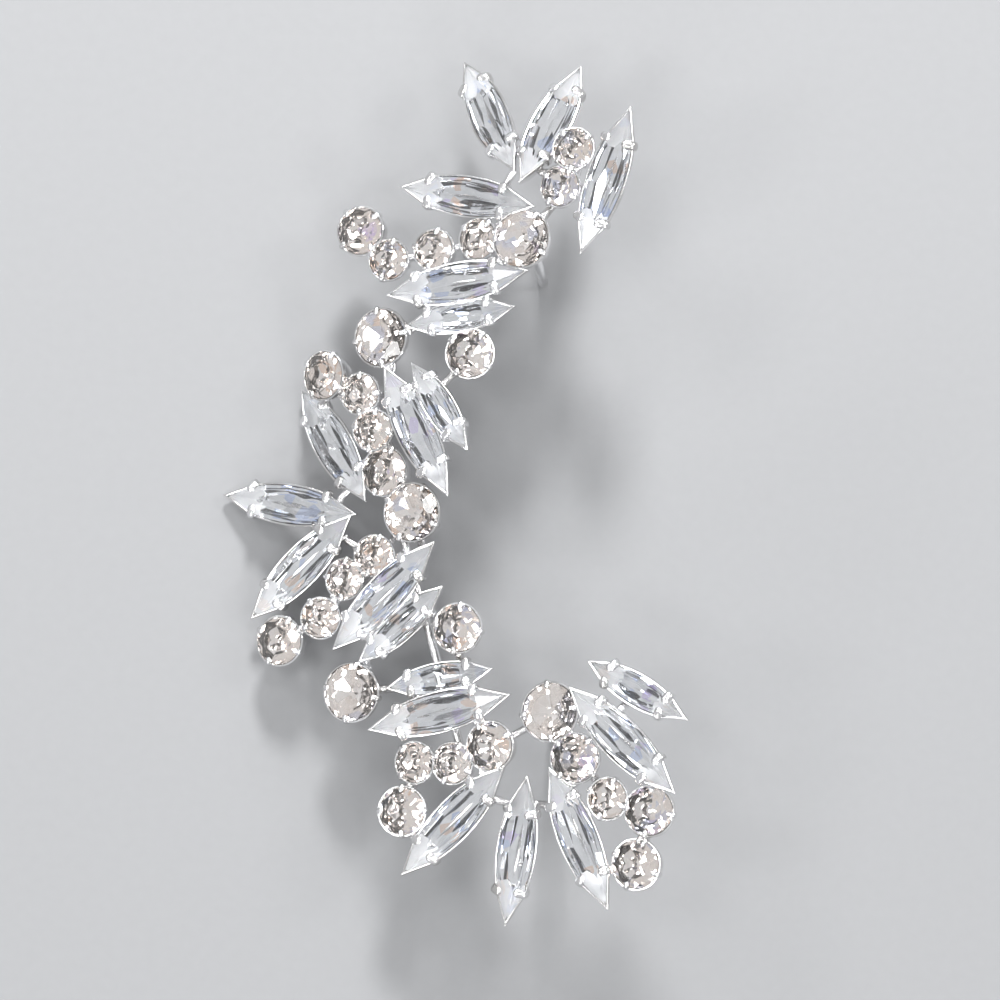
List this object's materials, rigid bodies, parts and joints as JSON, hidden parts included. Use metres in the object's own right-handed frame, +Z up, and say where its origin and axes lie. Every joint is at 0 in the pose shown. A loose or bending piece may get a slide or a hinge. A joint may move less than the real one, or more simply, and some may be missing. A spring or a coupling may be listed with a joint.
{
  "type": "ear cuff",
  "caption": "Long curved ear cuff: a spray of navette and round cut stones in soldered metal cups, with an ear hook and a lobe post behind.",
  "frame": {"origin": "on the ground under the middle of the cuff's box, as it lies face up", "axes": "+X from the outer curve, which lies low, to the open side; +Y to the upper spray; +Z up, the way the stones face"},
  "size_m": [0.0466, 0.0878, 0.0204],
  "materials": {
    "metal": "bright silver plate",
    "crystal": "clear cut crystal with a silvered back"
  },
  "bodies": {
    "root": {"metal_frame": "metal", "navette_bottom_1": "crystal", "navette_bottom_2": "crystal", "navette_bottom_3": "crystal", "navette_bottom_4": "crystal", "navette_bottom_5": "crystal", "navette_left_1": "crystal", "navette_left_2": "crystal", "navette_left_3": "crystal", "navette_lower_1": "crystal", "navette_lower_2": "crystal", "navette_lower_3": "crystal", "navette_lower_4": "crystal", "navette_top_1": "crystal", "navette_top_2": "crystal", "navette_top_3": "crystal", "navette_top_4": "crystal", "navette_upper_1": "crystal", "navette_upper_2": "crystal", "navette_upper_3": "crystal", "navette_upper_4": "crystal", "round_bottom_1": "crystal", "round_bottom_2": "crystal", "round_bottom_3": "crystal", "round_bottom_4": "crystal", "round_bottom_5": "crystal", "round_bottom_6": "crystal", "round_bottom_7": "crystal", "round_bottom_8": "crystal", "round_bottom_9": "crystal", "round_left_1": "crystal", "round_left_2": "crystal", "round_left_3": "crystal", "round_left_4": "crystal", "round_left_5": "crystal", "round_lower_1": "crystal", "round_lower_2": "crystal", "round_top_1": "crystal", "round_top_2": "crystal", "round_top_3": "crystal", "round_top_4": "crystal", "round_top_5": "crystal", "round_top_6": "crystal", "round_top_7": "crystal", "round_upper_1": "crystal", "round_upper_2": "crystal", "round_upper_3": "crystal", "round_upper_4": "crystal", "round_upper_5": "crystal", "round_upper_6": "crystal"}
  },
  "joints": []
}
